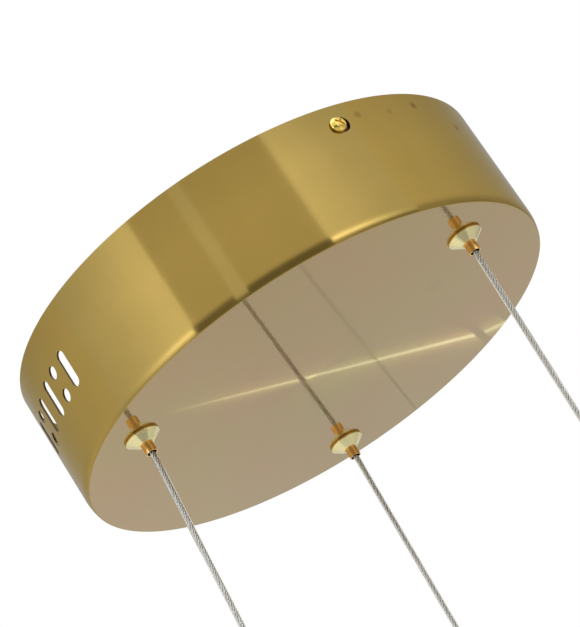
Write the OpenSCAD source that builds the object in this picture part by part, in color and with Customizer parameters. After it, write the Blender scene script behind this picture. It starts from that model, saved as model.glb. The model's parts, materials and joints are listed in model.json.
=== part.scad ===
// Ceiling canopy of a pendant chandelier, with its three suspension wires.
// The origin is the centre of the canopy on the ceiling, and +Z points up.
// The strap lies along X. The wires hang below the disc, one at -Y and two at +Y.

/* [Canopy] */
// Outer diameter of the drum
canopy_d = 250; // [230:1:280]
// Height from the ceiling to the face of the disc
canopy_h = 64.5; // [60:0.5:80]
// Thickness of the sheet metal
sheet_t = 1; // [0.8:0.1:1.4]
// Outside radius of the edge between the side and the disc
edge_r = 3; // [1.5:0.1:4]

/* [Vents] */
// Length of a vent slot
vent_slot_l = 19.4; // [12:0.1:26]
// Width of a vent slot
vent_slot_w = 6; // [3:0.1:6.5]
// Diameter of a round vent hole
vent_dot_d = 6.6; // [3:0.1:7]
// Distance between the centres of two round vent holes of a column
vent_dot_gap = 12.9; // [8:0.1:18]
// Distance between the vent columns of one half of a group, along the side
vent_pitch = 12.2; // [9:0.1:14]
// Distance between the two halves of a group, along the side
vent_middle = 15.5; // [12:0.1:18]
// Depth of the vents' centres below the ceiling
vent_drop = 27.8; // [26:0.1:34]
// Direction of the middle of a vent group
vent_angle = -96.4; // [-110:0.1:-80]

/* [Strap and side screws] */
// Width of the ceiling strap
strap_w = 20; // [18:1:26]
// Thickness of the strap
strap_t = 2; // [1.5:0.1:3]
// Depth of the ears below the ceiling
ear_h = 19; // [17:1:22]
// Width of an ear
ear_w = 16; // [12:1:18]
// Distance between the two ceiling slots
slot_spacing = 90; // [60:1:120]
// Length of a ceiling slot
slot_l = 24; // [10:1:30]
// Width of a ceiling slot
slot_w = 5.2; // [4:0.1:6.5]
// Diameter of the cable hole in the middle of the strap
cable_hole_d = 10.4; // [6:0.1:12]
// Thread diameter of a side screw
screw_d = 4; // [3:0.5:5]
// Length of a side screw below its head
screw_l = 14; // [10:1:20]
// Diameter of a side screw's head
screw_head_d = 8; // [6:0.1:9]
// Height of a side screw's head
screw_head_h = 2.8; // [2:0.1:4]
// Depth of the side screws below the ceiling
screw_drop = 10.8; // [9:0.1:12]
// Turn of the canopy that brings the screw heads to the round holes, in degrees
keyhole_turn = 0.9; // [0.8:0.1:1.6]

/* [Cable grippers] */
// Distance of the grippers from the middle
gripper_r = 100.6; // [96:0.1:104]
// Direction of the front gripper
gripper_angle = -88.9; // [-95:0.1:-85]
// Diameter of a gripper's rim
rim_d = 17.6; // [15:0.1:20]
// Thickness of the rim
rim_t = 1.1; // [0.6:0.1:2]
// Height of the cone below the rim
cone_h = 3.7; // [2:0.1:6]
// Length of the nozzle that stands out of the cone
nozzle_out = 4.9; // [3:0.1:5]
// Wall of the nozzle
nozzle_wall = 0.5; // [0.4:0.1:0.8]
// Travel of the nozzle when it is pressed
nozzle_travel = 2; // [1:0.1:2.4]
// Diameter of a grip ball
ball_d = 2; // [1.6:0.1:2.4]
// Wall of the hollow stud
stud_wall = 1.3; // [1:0.1:2]
// Length of the stud above the disc's outer face
stud_l = 15.5; // [14:0.5:17]
// Height of the nut
nut_h = 4; // [3:0.5:6]
// Thickness of the washer
washer_t = 1.2; // [0.8:0.1:2]

/* [Suspension wires] */
// Diameter of a wire over its clear jacket
wire_d = 3; // [2:0.1:3.2]
// Free length of a wire below its nozzle
wire_free_l = 113; // [60:1:300]
// Length of wire above the grip, inside the canopy
wire_tail_l = 30; // [26:1:32]
// Height by which the grip lets a wire be raised or lowered here
wire_travel = 8; // [2:0.5:9]
// Lean of the front wire from the vertical, in degrees
lean_front = 4.5; // [0:0.1:5.2]
// Lean of the left wire from the vertical, in degrees
lean_left = 2.8; // [0:0.1:5.2]
// Lean of the right wire from the vertical, in degrees
lean_right = 2.4; // [0:0.1:5.2]
// Direction in which the wires lean
lean_dir = 240; // [200:1:280]
// Thread diameter of the stud at the end of a wire
end_stud_d = 5; // [3:0.5:6]
// Length of that stud
end_stud_l = 8; // [5:0.5:15]

/* [Driver and terminals] */
// Length of the driver's case
driver_l = 110; // [96:1:114]
// Width of the driver's case
driver_w = 34; // [30:1:40]
// Height of the driver with its lid
driver_h = 24; // [22:1:30]
// Wall of the driver's case
case_wall = 1.6; // [1.2:0.1:2]
// Distance of the driver from the middle
driver_y = 46; // [44:1:52]
// Length of the terminal block
block_l = 32; // [30:1:36]
// Width of the terminal block
block_w = 17; // [15:1:18]
// Height of the terminal block
block_h = 14; // [13:1:18]
// Diameter of an insulated lead
lead_d = 2.2; // [1.6:0.1:2.6]

/* [Hidden] */

$fn = 48;
round_fn = 96;
canopy_r = canopy_d / 2;
floor_z = -canopy_h + sheet_t;
steel = [0.62, 0.63, 0.65];
satin_brass = [0.66, 0.57, 0.33];
pale_gold = [0.80, 0.74, 0.50];
copper_gold = [0.82, 0.55, 0.24];

// Clearances: a running fit, a gap between still pieces, and a gap to what moves
run_gap = 0.05;
still_gap = 0.1;
move_gap = 0.3;

// Small values for cuts that run past a face
past = 1;

// Places of the three wires: front, left and right
FRONT = 0;
LEFT = 1;
RIGHT = 2;
wire_angle = [gripper_angle, gripper_angle + 240, gripper_angle + 120];
wire_lean = [lean_front, lean_left, lean_right];
max_lean = max(wire_lean);

// Sizes of the grip. Heights here are above the disc's outer face.
wire_r = wire_d / 2;
ball_r = ball_d / 2;
ball_gap = 0.15;
ball_z = 2;
cone_tip_z = -rim_t - cone_h;
mouth_z = cone_tip_z - nozzle_out;
nozzle_bore_r = wire_r + wire_travel * tan(max_lean) + move_gap;
nozzle_r = nozzle_bore_r + nozzle_wall;
ball_place_r = wire_r + ball_gap + ball_r;
seat_slope = 0.2;
seat_r = max(ball_place_r + ball_r, nozzle_r) + 2 * run_gap;
seat_drop = (seat_r - nozzle_r - run_gap) / seat_slope;
seat_rise = ball_r + 1;
spring_bore_r = seat_r + seat_slope * seat_rise;
stud_r = spring_bore_r + stud_wall;
cage_cover = 0.6;
cage_top_z = ball_z + ball_r + cage_cover;
collar_t = 0.6;
collar_r = seat_r + seat_slope * (cage_top_z - collar_t - ball_z) - 2 * run_gap;
plug_h = 3;
plug_z = stud_l - plug_h;
plug_bore_r = wire_r + move_gap;
spring_wire_r = 0.3;
spring_r = (nozzle_bore_r + spring_bore_r) / 2;
spring_turns = 5;
cone_tip_wall = 1.1;
cone_tip_r = nozzle_r + cone_tip_wall;
nut_wall = 2.6;
nut_r = stud_r + nut_wall;
washer_wall = 3.5;
washer_r = stud_r + washer_wall;

// Sizes of the ear, the screw and the keyhole
ear_gap = 0.5;
ear_face_r = sqrt(pow(canopy_r - sheet_t, 2) - pow(ear_w / 2, 2)) - ear_gap;
bend_r = 1.5;
keyhole_shift = canopy_r * sin(keyhole_turn);
keyhole_play = 1.3;
keyhole_neck_w = screw_d + 2 * move_gap;
keyhole_head_d = screw_head_d + 2 * move_gap;
head_gap = 0.2;
head_edge_h = 0.5;

// Sizes of the wire's ends
wire_straight = 3;
end_barrel_r = 2.8;
end_barrel_l = 12;
end_flange_r = 4.2;
end_flange_t = 2;
ferrule_l = 9;
ferrule_wall = 0.9;
splice_r = 2.7;
splice_l = 17;
splice_cover = 7;

// Sizes of the driver. Heights here are above the canopy's floor.
tab_l = 8;
tab_t = 2;
tab_hole_r = 1.7;
small_stud_r = 1.5;
small_stud_out = 5;
small_nut_h = 2.4;
small_nut_r = 3.1;
board_t = 1.6;
board_z = 4.2;
board_gap = 1;
pillar_r = 2;
pillar_inset = 4;
lid_t = 1.8;
lid_lip = 1.4;
part_z = board_z + board_t;
part_h = driver_h - lid_t - lid_lip - part_z - 2 * move_gap;

// The transformer stands in the middle of the board
core_l = 18;
core_w = 20;
core_t = 3;
bobbin_l = 14;
bobbin_w = 16;
yoke_w = 14;
yoke_t = 2;

// Place along the driver, place across it, and radius of each capacitor
capacitors = [[-28, 0, 5], [26, -5, 4], [26, 5, 4]];

// The heat sink is an angle of sheet beside the transformer
sink_x = 13;
sink_foot = 5;
sink_w = 18;
sink_t = 1.2;

// Sizes of the terminal block and its poles
block_x = -22;
block_y = 6;
pole_z = 5.6;
pole_bore_r = 1.9;
sleeve_wall = 0.8;
sleeve_inset = 1.5;
clamp_r = 1.45;
clamp_l = 5;
clamp_slot_w = 0.5;
clamp_slot_h = 0.8;
clamp_well_r = 2.1;
thin_nut_h = 1.2;
thin_nut_r = 2.6;

// Sizes of the earth stud, its lug and its nut
earth_x = 32;
earth_y = 8;
earth_stud_r = 2;
earth_stud_l = 9;
lug_t = 0.8;
lug_r = 4.2;
lug_neck_l = 6;
lug_neck_w = 3.2;
barrel_l = 6;
barrel_bore_l = 5;
earth_nut_h = 3.2;
earth_nut_r = 4;

// Sizes of the leads
lead_r = lead_d / 2;
lead_exit_z = part_z + 5.2;
lead_hole_r = lead_r + move_gap;
lead_apart = 9;

// A point on the axis of a gripper, at height z above the disc's outer face
function on_axis(i, z) = [
  gripper_r * cos(wire_angle[i]), gripper_r * sin(wire_angle[i]), -canopy_h + z
];

// The wire bends from the axis a little below the mouth, and leans from there
bend_z = mouth_z - wire_straight;
function wire_down(i) = [
  cos(lean_dir) * sin(wire_lean[i]), sin(lean_dir) * sin(wire_lean[i]), -cos(wire_lean[i])
];
function on_wire(i, way) =
  way < wire_straight
    ? on_axis(i, mouth_z - way)
    : on_axis(i, bend_z) + wire_down(i) * (way - wire_straight);

// Unit vector, and the ring of points round a path's point
function unit(v) = v / norm(v);
function side_of(t) = unit(cross(t, abs(t[2]) < 0.8 ? [0, 0, 1] : [0, 1, 0]));

// A curve through the points, with steps points for each stretch
function spline_point(p, k, s) =
  let (
    n = len(p),
    a = p[max(k - 1, 0)],
    b = p[k],
    c = p[min(k + 1, n - 1)],
    d = p[min(k + 2, n - 1)]
  )
  0.5 * (2 * b + (c - a) * s + (2 * a - 5 * b + 4 * c - d) * s * s
    + (3 * b - a - 3 * c + d) * s * s * s);
function smooth(p, steps) = [
  for (k = [0 : len(p) - 2])
    for (j = [0 : steps - 1])
      spline_point(p, k, j / steps),
  p[len(p) - 1]
];

// Direction of the path at point k
function heading(p, k) = unit(p[min(k + 1, len(p) - 1)] - p[max(k - 1, 0)]);

// Carries the side vector along the path without twist
function carried(p, k) =
  k == 0
    ? side_of(heading(p, 0))
    : let (last = carried(p, k - 1), t = heading(p, k)) unit(last - t * (last * t));

// One closed tube along the path
module tube(p, r, sides) {
  n = len(p);
  points = [
    for (k = [0 : n - 1])
      let (t = heading(p, k), a = carried(p, k), b = cross(t, a))
        for (j = [0 : sides - 1])
          p[k] + r * cos(360 * j / sides) * a + r * sin(360 * j / sides) * b
  ];
  walls = [
    for (k = [0 : n - 2])
      for (j = [0 : sides - 1])
        let (a = k * sides + j, b = k * sides + (j + 1) % sides)
          for (f = [[a, a + sides, b], [b, a + sides, b + sides]]) f
  ];
  first = [for (j = [0 : sides - 1]) j];
  last = [for (j = [sides - 1 : -1 : 0]) (n - 1) * sides + j];
  polyhedron(points, concat([first], walls, [last]));
}

// A slot-shaped cutter along X, standing on Z
module slot_cutter(length, width, height) {
  reach = (length - width) / 2;
  for (side = [-1, 1])
    translate([side * reach, 0, 0])
      cylinder(h = height, d = width);
  translate([-reach, -width / 2, 0])
    cube([2 * reach, width, height]);
}

// Places a cutter on the canopy's side: its Z runs outwards, its X runs down
module on_side(angle, drop) {
  rotate([0, 0, angle])
    translate([canopy_r - 4 * sheet_t, 0, -drop])
      rotate([0, 90, 0])
        children();
}

module strap_ear() {
  translate([ear_face_r - strap_t, -ear_w / 2, -ear_h])
    cube([strap_t, ear_w, ear_h - strap_t - bend_r]);
  // The bend is a quarter of a tube, lying along Y
  translate([ear_face_r - strap_t - bend_r, -ear_w / 2, -strap_t - bend_r])
    rotate([-90, 0, 0])
      rotate([0, 0, -90])
        rotate_extrude_quarter(bend_r, bend_r + strap_t, ear_w);
  translate([ear_face_r - strap_t - bend_r - past, -ear_w / 2, -strap_t])
    cube([past, ear_w, strap_t]);
}

// A quarter of a tube about Z, from +X to +Y
module rotate_extrude_quarter(inner, outer, height) {
  intersection() {
    difference() {
      cylinder(h = height, r = outer);
      translate([0, 0, -past])
        cylinder(h = height + 2 * past, r = inner);
    }
    cube([outer + past, outer + past, height]);
  }
}

module mounting_strap() {
  flat_l = 2 * (ear_face_r - strap_t - bend_r);
  color(steel)
    difference() {
      union() {
        translate([-flat_l / 2, -strap_w / 2, -strap_t])
          cube([flat_l, strap_w, strap_t]);
        for (turn = [0, 180])
          rotate([0, 0, turn])
            strap_ear();
      }
      for (side = [-1, 1])
        translate([side * slot_spacing / 2, 0, -strap_t - past])
          slot_cutter(slot_l, slot_w, strap_t + 2 * past);
      translate([0, 0, -strap_t - past])
        cylinder(h = strap_t + 2 * past, d = cable_hole_d);
      for (turn = [0, 180])
        rotate([0, 0, turn])
          translate([ear_face_r - strap_t - past, 0, -screw_drop])
            rotate([0, 90, 0])
              cylinder(h = strap_t + 2 * past, r = screw_d / 2 + run_gap);
    }
}

// A pan-head screw with a cross recess, its axis along X
module side_screw(turn) {
  recess_w = 1;
  recess_l = 0.58 * screw_head_d;
  recess_h = 0.6 * screw_head_h;
  dome_steps = 8;
  color(pale_gold)
    rotate([0, 0, turn])
      translate([canopy_r + head_gap, 0, -screw_drop])
        rotate([0, 90, 0])
          difference() {
            union() {
              rotate_extrude()
                polygon(concat(
                  [[0, 0], [screw_head_d / 2, 0]],
                  [for (k = [0 : dome_steps])
                    [screw_head_d / 2 * cos(90 * k / dome_steps),
                      head_edge_h + (screw_head_h - head_edge_h) * sin(90 * k / dome_steps)]]
                ));
              translate([0, 0, -screw_l])
                cylinder(h = screw_l, d = screw_d);
            }
            for (quarter = [0, 90])
              rotate([0, 0, 45 + quarter])
                translate([-recess_l / 2, -recess_w / 2, screw_head_h - recess_h])
                  cube([recess_l, recess_w, recess_h + past]);
          }
}

module canopy_profile() {
  steps = 8;
  inner_r = edge_r - sheet_t;
  outer_arc = [for (k = [0 : steps])
    [canopy_r - edge_r + edge_r * cos(90 * k / steps),
      -canopy_h + edge_r - edge_r * sin(90 * k / steps)]];
  inner_arc = [for (k = [steps : -1 : 0])
    [canopy_r - edge_r + inner_r * cos(90 * k / steps),
      -canopy_h + edge_r - inner_r * sin(90 * k / steps)]];
  polygon(concat(
    [[canopy_r, 0]], outer_arc, [[0, -canopy_h], [0, floor_z]], inner_arc,
    [[canopy_r - sheet_t, 0]]
  ));
}

// One group of vents: slot, dots and slot, then a wider gap and the same again
module vent_group(angle) {
  pattern = ["slot", "dots", "slot"];
  for (half = [-1, 1])
    for (k = [0 : len(pattern) - 1]) {
      way = half * (vent_middle / 2 + k * vent_pitch);
      on_side(angle + way / canopy_r * 180 / PI, vent_drop)
        if (pattern[k] == "slot")
          slot_cutter(vent_slot_l, vent_slot_w, 8 * sheet_t);
        else
          for (side = [-1, 1])
            translate([side * vent_dot_gap / 2, 0, 0])
              cylinder(h = 8 * sheet_t, d = vent_dot_d);
    }
}

module keyhole(angle) {
  on_side(angle, screw_drop) {
    translate([0, keyhole_shift, 0])
      cylinder(h = 8 * sheet_t, d = keyhole_head_d);
    translate([0, -keyhole_play, 0])
      cylinder(h = 8 * sheet_t, d = keyhole_neck_w);
    translate([-keyhole_neck_w / 2, -keyhole_play, 0])
      cube([keyhole_neck_w, keyhole_shift + keyhole_play, 8 * sheet_t]);
  }
}

module canopy_shell() {
  color(satin_brass)
    difference() {
      rotate_extrude($fn = round_fn)
        canopy_profile();
      for (turn = [0, 180]) {
        vent_group(vent_angle + turn);
        keyhole(turn);
      }
      for (angle = wire_angle)
        rotate([0, 0, angle])
          translate([gripper_r, 0, -canopy_h - past])
            cylinder(h = sheet_t + 2 * past, r = stud_r + still_gap);
    }
}

// Weld studs on the canopy's floor: two for the driver, one for the terminals, one for earth
module floor_studs() {
  color(steel) {
    for (side = [-1, 1])
      translate([side * (driver_l + tab_l) / 2, driver_y, floor_z])
        cylinder(h = tab_t + small_stud_out, r = small_stud_r);
    translate([block_x, block_y, floor_z])
      cylinder(h = block_h + thin_nut_h + move_gap, r = small_stud_r);
    translate([earth_x, earth_y, floor_z])
      cylinder(h = earth_stud_l, r = earth_stud_r);
  }
}

// Places its children at a gripper, with z from the disc's outer face
module at_gripper(i) {
  rotate([0, 0, wire_angle[i]])
    translate([gripper_r, 0, -canopy_h])
      children();
}

module gripper_body(i) {
  chamfer = 0.3;
  seat_z = ball_z - seat_drop;
  color(pale_gold)
    at_gripper(i)
      rotate_extrude()
        polygon([
          [nozzle_r + run_gap, cone_tip_z],
          [cone_tip_r, cone_tip_z],
          [rim_d / 2 - chamfer, -rim_t],
          [rim_d / 2, -rim_t + chamfer],
          [rim_d / 2, 0],
          [stud_r, 0],
          [stud_r, stud_l - chamfer],
          [stud_r - chamfer, stud_l],
          [spring_bore_r, stud_l],
          [spring_bore_r, ball_z + seat_rise],
          [nozzle_r + run_gap, seat_z]
        ]);
}

// The nozzle is one tube with the cage of the grip balls
module release_nozzle(i) {
  color(copper_gold)
    at_gripper(i)
      difference() {
        union() {
          translate([0, 0, mouth_z])
            cylinder(h = cage_top_z - mouth_z, r = nozzle_r);
          translate([0, 0, cage_top_z - collar_t])
            cylinder(h = collar_t, r = collar_r);
        }
        translate([0, 0, mouth_z - past])
          cylinder(h = cage_top_z - mouth_z + 2 * past, r = nozzle_bore_r);
        for (k = [0 : 2])
          rotate([0, 0, 60 + 120 * k])
            translate([0, 0, ball_z])
              rotate([0, 90, 0])
                cylinder(h = nozzle_r + past, r = ball_r + still_gap);
      }
}

module grip_balls(i) {
  color(steel)
    at_gripper(i)
      for (k = [0 : 2])
        rotate([0, 0, 60 + 120 * k])
          translate([ball_place_r, 0, ball_z])
            sphere(r = ball_r, $fn = 24);
}

// The spring's wire runs up from the cage to the plug
spring_low = cage_top_z + spring_wire_r + run_gap;
spring_high = plug_z - spring_wire_r - run_gap;
spring_pitch = (spring_high - spring_low) / spring_turns;
spring_rings = 8;
spring_path = [
  for (k = [0 : spring_turns * spring_rings])
    let (a = 360 * k / spring_rings)
      [spring_r * cos(a), spring_r * sin(a), spring_low + spring_pitch * k / spring_rings]
];
echo(spring_least_gap = spring_pitch - 2 * spring_wire_r);

module grip_spring(i) {
  color(steel)
    at_gripper(i)
      tube(spring_path, spring_wire_r, 6);
}

// A ring screwed into the stud's top, with a slot for the driver's blade
module grip_plug(i) {
  blade_w = 1;
  blade_h = 1;
  color(pale_gold)
    at_gripper(i)
      difference() {
        translate([0, 0, plug_z])
          cylinder(h = plug_h, r = spring_bore_r - run_gap);
        translate([0, 0, plug_z - past])
          cylinder(h = plug_h + 2 * past, r = plug_bore_r);
        translate([-stud_r, -blade_w / 2, stud_l - blade_h])
          cube([2 * stud_r, blade_w, blade_h + past]);
      }
}

module gripper_washers() {
  color(steel)
    for (i = [FRONT, LEFT, RIGHT])
      at_gripper(i)
        translate([0, 0, sheet_t])
          difference() {
            cylinder(h = washer_t, r = washer_r);
            translate([0, 0, -past])
              cylinder(h = washer_t + 2 * past, r = stud_r + still_gap);
          }
}

module gripper_nuts() {
  color(steel)
    for (i = [FRONT, LEFT, RIGHT])
      at_gripper(i)
        translate([0, 0, sheet_t + washer_t])
          difference() {
            cylinder(h = nut_h, r = nut_r, $fn = 6);
            translate([0, 0, -past])
              cylinder(h = nut_h + 2 * past, r = stud_r + run_gap);
          }
}

// The free wire below the nozzle, one ring about every 10 mm
wire_steps = 12;
module wire(i) {
  lean_l = wire_free_l - wire_straight;
  color(steel)
    tube(
      concat(
        [on_wire(i, 0)],
        [for (k = [0 : wire_steps]) on_wire(i, wire_straight + lean_l * k / wire_steps)]
      ),
      wire_r, 8
    );
}

// The wire inside the nozzle, the grip and the canopy
tail_top = ball_z + wire_tail_l;
module wire_tail(i) {
  color(steel)
    at_gripper(i)
      translate([0, 0, mouth_z])
        cylinder(h = tail_top - mouth_z, r = wire_r);
}

// The crimped barrel with a threaded stud, which takes the lamp's body
module wire_end(i) {
  color(copper_gold)
    translate(on_wire(i, wire_free_l))
      rotate([0, 0, lean_dir])
        rotate([0, -wire_lean[i], 0])
          translate([0, 0, -end_barrel_l - end_flange_t - end_stud_l])
            union() {
              cylinder(h = end_stud_l, r = end_stud_d / 2);
              translate([0, 0, end_stud_l])
                cylinder(h = end_flange_t, r = end_flange_r);
              translate([0, 0, end_stud_l + end_flange_t])
                cylinder(h = end_barrel_l, r = end_barrel_r);
            }
}

// A crimped stop on the tail of the wire that carries no current
module tail_ferrule(i) {
  color(copper_gold)
    at_gripper(i)
      translate([0, 0, tail_top - splice_cover])
        difference() {
          cylinder(h = ferrule_l, r = wire_r + ferrule_wall);
          translate([0, 0, -past])
            cylinder(h = splice_cover + past, r = wire_r + run_gap);
        }
}

// An insulated butt splice: the wire's tail enters below, and the lead above
splice_top = tail_top - splice_cover + splice_l;
module tail_splice(i) {
  color("firebrick")
    at_gripper(i)
      translate([0, 0, splice_top - splice_l])
        difference() {
          cylinder(h = splice_l, r = splice_r);
          translate([0, 0, -past])
            cylinder(h = splice_cover + past, r = wire_r + run_gap);
          translate([0, 0, splice_l - splice_cover])
            cylinder(h = splice_cover + past, r = lead_r + run_gap);
        }
}

// Places its children at the driver, with z from the canopy's floor
module at_driver() {
  translate([0, driver_y, floor_z])
    children();
}

module driver_case() {
  body_h = driver_h - lid_t;
  color("white")
    at_driver()
      difference() {
        union() {
          translate([-driver_l / 2, -driver_w / 2, 0])
            cube([driver_l, driver_w, body_h]);
          translate([-driver_l / 2 - tab_l, -driver_w / 4, 0])
            cube([driver_l + 2 * tab_l, driver_w / 2, tab_t]);
        }
        translate([-driver_l / 2 + case_wall, -driver_w / 2 + case_wall, case_wall])
          cube([driver_l - 2 * case_wall, driver_w - 2 * case_wall, body_h]);
        for (side = [-1, 1]) {
          translate([side * (driver_l + tab_l) / 2, 0, -past])
            cylinder(h = tab_t + 2 * past, r = tab_hole_r);
          for (apart = [-1, 1])
            translate([side * driver_l / 2, apart * lead_apart / 2, lead_exit_z])
              rotate([0, 90, 0])
                cylinder(h = 4 * case_wall, r = lead_hole_r, center = true);
        }
      }
}

module driver_lid() {
  reach = case_wall + still_gap;
  color("gainsboro")
    at_driver() {
      translate([-driver_l / 2, -driver_w / 2, driver_h - lid_t])
        cube([driver_l, driver_w, lid_t]);
      translate([-driver_l / 2 + reach, -driver_w / 2 + reach, driver_h - lid_t - lid_lip])
        difference() {
          cube([driver_l - 2 * reach, driver_w - 2 * reach, lid_lip]);
          translate([case_wall, case_wall, -past])
            cube([
              driver_l - 2 * reach - 2 * case_wall,
              driver_w - 2 * reach - 2 * case_wall,
              lid_lip + past
            ]);
        }
    }
}

// The circuit board stands on four pillars of its own
module driver_board() {
  board_l = driver_l - 2 * case_wall - 2 * board_gap;
  board_w = driver_w - 2 * case_wall - board_gap;
  color("seagreen")
    at_driver() {
      translate([-board_l / 2, -board_w / 2, board_z])
        cube([board_l, board_w, board_t]);
      for (x = [-1, 1])
        for (y = [-1, 1])
          translate([x * (board_l / 2 - pillar_inset), y * (board_w / 2 - pillar_inset), case_wall])
            cylinder(h = board_z - case_wall, r = pillar_r);
    }
}

// A ferrite core below, the wound bobbin, and the yoke on top
module driver_transformer() {
  bobbin_h = part_h - core_t - yoke_t;
  color("khaki")
    at_driver()
      union() {
        translate([-core_l / 2, -core_w / 2, part_z])
          cube([core_l, core_w, core_t]);
        translate([-bobbin_l / 2, -bobbin_w / 2, part_z + core_t])
          cube([bobbin_l, bobbin_w, bobbin_h]);
        translate([-core_l / 2, -yoke_w / 2, part_z + core_t + bobbin_h])
          cube([core_l, yoke_w, yoke_t]);
      }
}

module driver_capacitors() {
  color("black")
    at_driver()
      for (place = capacitors)
        translate([place[0], place[1], part_z])
          cylinder(h = part_h, r = place[2]);
}

module driver_heat_sink() {
  color("silver")
    at_driver()
      translate([sink_x, -sink_w / 2, part_z])
        union() {
          cube([sink_foot, sink_w, sink_t]);
          cube([sink_t, sink_w, part_h]);
        }
}

// A nut on a plain bore, standing on Z
module nut(height, corner_r, bore_r) {
  difference() {
    cylinder(h = height, r = corner_r, $fn = 6);
    translate([0, 0, -past])
      cylinder(h = height + 2 * past, r = bore_r + run_gap);
  }
}

module driver_nuts() {
  color(steel)
    for (side = [-1, 1])
      translate([side * (driver_l + tab_l) / 2, driver_y, floor_z + tab_t])
        nut(small_nut_h, small_nut_r, small_stud_r);
}

// The poles stand along the terminal block, and its stud passes between neutral and earth
LIVE = 0;
NEUTRAL = 1;
EARTH = 2;
pole_r = pole_bore_r + sleeve_wall;
pole_wall = 1;
pole_place = [
  -block_l / 2 + pole_wall + pole_r, -tab_hole_r - pole_wall - pole_r, block_l / 4
];

module at_block() {
  translate([block_x, block_y, floor_z])
    children();
}

module terminal_block() {
  color("whitesmoke")
    at_block()
      difference() {
        translate([-block_l / 2, -block_w / 2, 0])
          cube([block_l, block_w, block_h]);
        // The middle hole takes the weld stud
        translate([0, 0, -past])
          cylinder(h = block_h + 2 * past, r = tab_hole_r);
        for (pole = [LIVE, NEUTRAL, EARTH]) {
          translate([pole_place[pole], 0, pole_z])
            rotate([90, 0, 0])
              cylinder(h = block_w + 2 * past, r = pole_r, center = true);
          for (side = [-1, 1])
            translate([pole_place[pole], side * block_w / 4, pole_z])
              cylinder(h = block_h, r = clamp_well_r);
        }
      }
}

module terminal_sleeves() {
  sleeve_l = block_w - 2 * sleeve_inset;
  color("goldenrod")
    at_block()
      for (pole = [LIVE, NEUTRAL, EARTH])
        translate([pole_place[pole], 0, pole_z])
          difference() {
            rotate([90, 0, 0])
              cylinder(h = sleeve_l, r = pole_r - still_gap, center = true);
            rotate([90, 0, 0])
              cylinder(h = sleeve_l + 2 * past, r = pole_bore_r, center = true);
            for (side = [-1, 1])
              translate([0, side * block_w / 4, 0])
                cylinder(h = 2 * pole_r, r = clamp_r + run_gap);
          }
}

// The clamping screws end just above the leads
module terminal_screws() {
  color(steel)
    at_block()
      for (pole = [LIVE, NEUTRAL, EARTH])
        for (side = [-1, 1])
          translate([pole_place[pole], side * block_w / 4, pole_z + lead_r + move_gap])
            difference() {
              cylinder(h = clamp_l, r = clamp_r);
              translate([-clamp_r - past, -clamp_slot_w / 2, clamp_l - clamp_slot_h])
                cube([2 * clamp_r + 2 * past, clamp_slot_w, clamp_slot_h + past]);
            }
}

module terminal_nut() {
  color(steel)
    at_block()
      translate([0, 0, block_h])
        nut(thin_nut_h, thin_nut_r, small_stud_r);
}

// The ring lug under the earth nut, with its crimp barrel towards the lead
barrel_x = -lug_r - lug_neck_l;
module earth_lug() {
  color("goldenrod")
    translate([earth_x, earth_y, floor_z])
      union() {
        difference() {
          union() {
            cylinder(h = lug_t, r = lug_r);
            translate([barrel_x + barrel_l - barrel_bore_l, -lug_neck_w / 2, 0])
              cube([lug_neck_l, lug_neck_w, lug_t]);
          }
          translate([0, 0, -past])
            cylinder(h = lug_t + 2 * past, r = earth_stud_r + still_gap);
        }
        translate([barrel_x, 0, lead_r + lug_t])
          rotate([0, 90, 0])
            difference() {
              cylinder(h = barrel_l, r = lead_r + lug_t);
              translate([0, 0, -past])
                cylinder(h = barrel_bore_l + past, r = lead_r + run_gap);
            }
      }
}

module earth_nut() {
  color(steel)
    translate([earth_x, earth_y, floor_z + lug_t])
      nut(earth_nut_h, earth_nut_r, earth_stud_r);
}

// Ends of the leads, which follow the pieces that they join
lead_side = block_y + block_w / 4;
lead_z = floor_z + pole_z;
case_in_x = driver_l / 2 - case_wall - 2;
exit_z = floor_z + lead_exit_z;
near_exit_y = driver_y - lead_apart / 2;
far_exit_y = driver_y + lead_apart / 2;
barrel_end_x = earth_x + barrel_x;
barrel_z = floor_z + lead_r + lug_t;
lid_top = floor_z + driver_h;

// A lead runs straight for its first and last stretch, and curves between them
module lead(points) {
  last = len(points) - 1;
  curve = [for (k = [1 : last - 1]) points[k]];
  tube(concat([points[0]], smooth(curve, 3), [points[last]]), lead_r, 8);
}

module live_lead() {
  x = block_x + pole_place[LIVE];
  color("saddlebrown")
    lead([
      [x, lead_side, lead_z], [x, lead_side + 7, lead_z], [x - 3, lead_side + 11, lead_z + 3],
      [-52, 24, floor_z + 12.5], [-65, 29.5, floor_z + 12.5],
      [-70, 36.5, floor_z + 11.5], [-66, 41, exit_z],
      [-60, near_exit_y, exit_z], [-case_in_x, near_exit_y, exit_z]
    ]);
}

module neutral_lead() {
  x = block_x + pole_place[NEUTRAL];
  color("steelblue")
    lead([
      [x, lead_side, lead_z], [x, lead_side + 7, lead_z], [x - 4, lead_side + 11, lead_z + 6],
      [-52, 20, floor_z + 19.5], [-70, 28, floor_z + 20.5],
      [-76, 41, floor_z + 16.5], [-70, 49.5, floor_z + 12],
      [-61, far_exit_y, exit_z], [-case_in_x, far_exit_y, exit_z]
    ]);
}

module earth_lead() {
  x = block_x + pole_place[EARTH];
  color("yellowgreen")
    lead([
      [x, lead_side, lead_z], [x, lead_side + 7, lead_z], [x + 5, lead_side + 11, lead_z + 3],
      [0, 21, floor_z + 11.5], [8, 13, floor_z + 4.5],
      [barrel_end_x - 5, earth_y, barrel_z],
      [barrel_end_x + barrel_bore_l - run_gap, earth_y, barrel_z]
    ]);
}

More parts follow.
